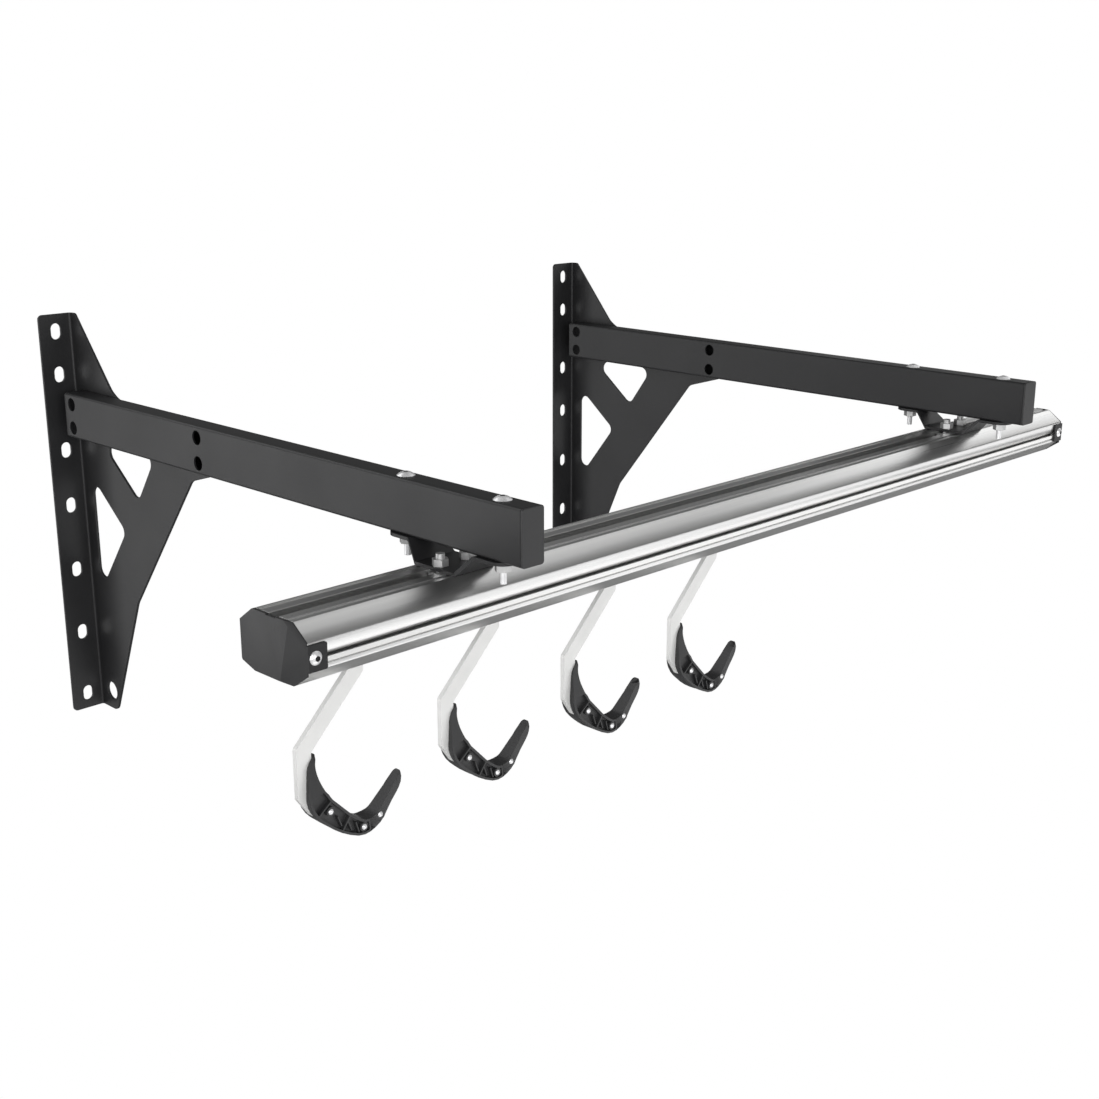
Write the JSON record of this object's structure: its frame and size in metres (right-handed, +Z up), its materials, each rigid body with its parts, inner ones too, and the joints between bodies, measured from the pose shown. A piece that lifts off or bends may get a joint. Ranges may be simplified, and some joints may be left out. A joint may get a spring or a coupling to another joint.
{
  "type": "bike storage wall rail",
  "caption": "Wall brackets with box-tube arms carry an aluminium rail, with padded hooks on rollers that glide along it to hang bicycles by a wheel.",
  "frame": {"origin": "on the wall plane at the arms' mid-height, midway between the two bracket webs", "axes": "+X along the rail, +Y into the wall (the room is at -Y), +Z up"},
  "size_m": [1.2, 0.7571, 0.4704],
  "materials": {
    "powder_coat": "satin black powder coat",
    "satin_aluminium": "satin anodised extrusion",
    "black_plastic": "moulded, fine grain",
    "black_fastener": "black oxide",
    "pad_plastic": "moulded, ribbed sides",
    "hook_steel": "bright zinc plate",
    "zinc_steel": "bright zinc plate",
    "nylon": "turned nylon"
  },
  "bodies": {
    "wall_frame": {"left_wall_bracket": "powder_coat", "right_wall_bracket": "powder_coat", "left_arm_tube": "powder_coat", "right_arm_tube": "powder_coat", "left_arm_cap": "black_plastic", "right_arm_cap": "black_plastic", "left_arm_bolts": "black_fastener", "right_arm_bolts": "black_fastener", "left_arm_nuts": "zinc_steel", "right_arm_nuts": "zinc_steel", "left_rail_hanger": "powder_coat", "right_rail_hanger": "powder_coat", "left_hanger_bolts": "zinc_steel", "right_hanger_bolts": "zinc_steel", "left_hanger_nuts": "zinc_steel", "right_hanger_nuts": "zinc_steel", "left_rail_bolts": "zinc_steel", "right_rail_bolts": "zinc_steel", "left_rail_nuts": "zinc_steel", "right_rail_nuts": "zinc_steel", "rail": "satin_aluminium", "left_end_cap": "black_plastic", "right_end_cap": "black_plastic", "left_cap_screw": "zinc_steel", "right_cap_screw": "zinc_steel", "left_slot_nut": "zinc_steel", "right_slot_nut": "zinc_steel"},
    "hook_1": {"hook_1_plate": "hook_steel", "hook_1_pad": "pad_plastic", "hook_1_pad_screws": "zinc_steel", "hook_1_axles": "zinc_steel"},
    "hook_1_left_wheels": {"hook_1_left_rollers": "nylon"},
    "hook_1_right_wheels": {"hook_1_right_rollers": "nylon"},
    "hook_2": {"hook_2_plate": "hook_steel", "hook_2_pad": "pad_plastic", "hook_2_pad_screws": "zinc_steel", "hook_2_axles": "zinc_steel"},
    "hook_2_left_wheels": {"hook_2_left_rollers": "nylon"},
    "hook_2_right_wheels": {"hook_2_right_rollers": "nylon"},
    "hook_3": {"hook_3_plate": "hook_steel", "hook_3_pad": "pad_plastic", "hook_3_pad_screws": "zinc_steel", "hook_3_axles": "zinc_steel"},
    "hook_3_left_wheels": {"hook_3_left_rollers": "nylon"},
    "hook_3_right_wheels": {"hook_3_right_rollers": "nylon"},
    "hook_4": {"hook_4_plate": "hook_steel", "hook_4_pad": "pad_plastic", "hook_4_pad_screws": "zinc_steel", "hook_4_axles": "zinc_steel"},
    "hook_4_left_wheels": {"hook_4_left_rollers": "nylon"},
    "hook_4_right_wheels": {"hook_4_right_rollers": "nylon"}
  },
  "joints": [
    {"name": "hook_1_glide", "type": "slide", "parent": "wall_frame", "child": "hook_1", "axis": [1, 0, 0], "range_m": [-0.041, 0.023]},
    {"name": "hook_1_left_roll", "type": "hinge", "parent": "hook_1", "child": "hook_1_left_wheels", "pos_m": [-0.5485, -0.6604, -0.083], "axis": [0, 1, 0], "range_deg": [-273, 154]},
    {"name": "hook_1_right_roll", "type": "hinge", "parent": "hook_1", "child": "hook_1_right_wheels", "pos_m": [-0.5045, -0.6604, -0.083], "axis": [0, 1, 0], "range_deg": [-273, 154]},
    {"name": "hook_2_glide", "type": "slide", "parent": "wall_frame", "child": "hook_2", "axis": [1, 0, 0], "range_m": [-0.023, 0.023]},
    {"name": "hook_2_left_roll", "type": "hinge", "parent": "hook_2", "child": "hook_2_left_wheels", "pos_m": [-0.3953, -0.6604, -0.083], "axis": [0, 1, 0], "range_deg": [-154, 154]},
    {"name": "hook_2_right_roll", "type": "hinge", "parent": "hook_2", "child": "hook_2_right_wheels", "pos_m": [-0.3513, -0.6604, -0.083], "axis": [0, 1, 0], "range_deg": [-154, 154]},
    {"name": "hook_3_glide", "type": "slide", "parent": "wall_frame", "child": "hook_3", "axis": [1, 0, 0], "range_m": [-0.023, 0.023]},
    {"name": "hook_3_left_roll", "type": "hinge", "parent": "hook_3", "child": "hook_3_left_wheels", "pos_m": [-0.2421, -0.6604, -0.083], "axis": [0, 1, 0], "range_deg": [-154, 154]},
    {"name": "hook_3_right_roll", "type": "hinge", "parent": "hook_3", "child": "hook_3_right_wheels", "pos_m": [-0.1981, -0.6604, -0.083], "axis": [0, 1, 0], "range_deg": [-154, 154]},
    {"name": "hook_4_glide", "type": "slide", "parent": "wall_frame", "child": "hook_4", "axis": [1, 0, 0], "range_m": [-0.023, 0.619]},
    {"name": "hook_4_left_roll", "type": "hinge", "parent": "hook_4", "child": "hook_4_left_wheels", "pos_m": [-0.0889, -0.6604, -0.083], "axis": [0, 1, 0], "range_deg": [-154, 4079]},
    {"name": "hook_4_right_roll", "type": "hinge", "parent": "hook_4", "child": "hook_4_right_wheels", "pos_m": [-0.0449, -0.6604, -0.083], "axis": [0, 1, 0], "range_deg": [-154, 4079]}
  ],
  "couplings": [
    {"joint": "hook_1_left_roll", "follows": "hook_1_glide", "rad_per_m": 114.94},
    {"joint": "hook_1_right_roll", "follows": "hook_1_glide", "rad_per_m": 114.94},
    {"joint": "hook_2_left_roll", "follows": "hook_2_glide", "rad_per_m": 114.94},
    {"joint": "hook_2_right_roll", "follows": "hook_2_glide", "rad_per_m": 114.94},
    {"joint": "hook_3_left_roll", "follows": "hook_3_glide", "rad_per_m": 114.94},
    {"joint": "hook_3_right_roll", "follows": "hook_3_glide", "rad_per_m": 114.94},
    {"joint": "hook_4_left_roll", "follows": "hook_4_glide", "rad_per_m": 114.94},
    {"joint": "hook_4_right_roll", "follows": "hook_4_glide", "rad_per_m": 114.94}
  ]
}
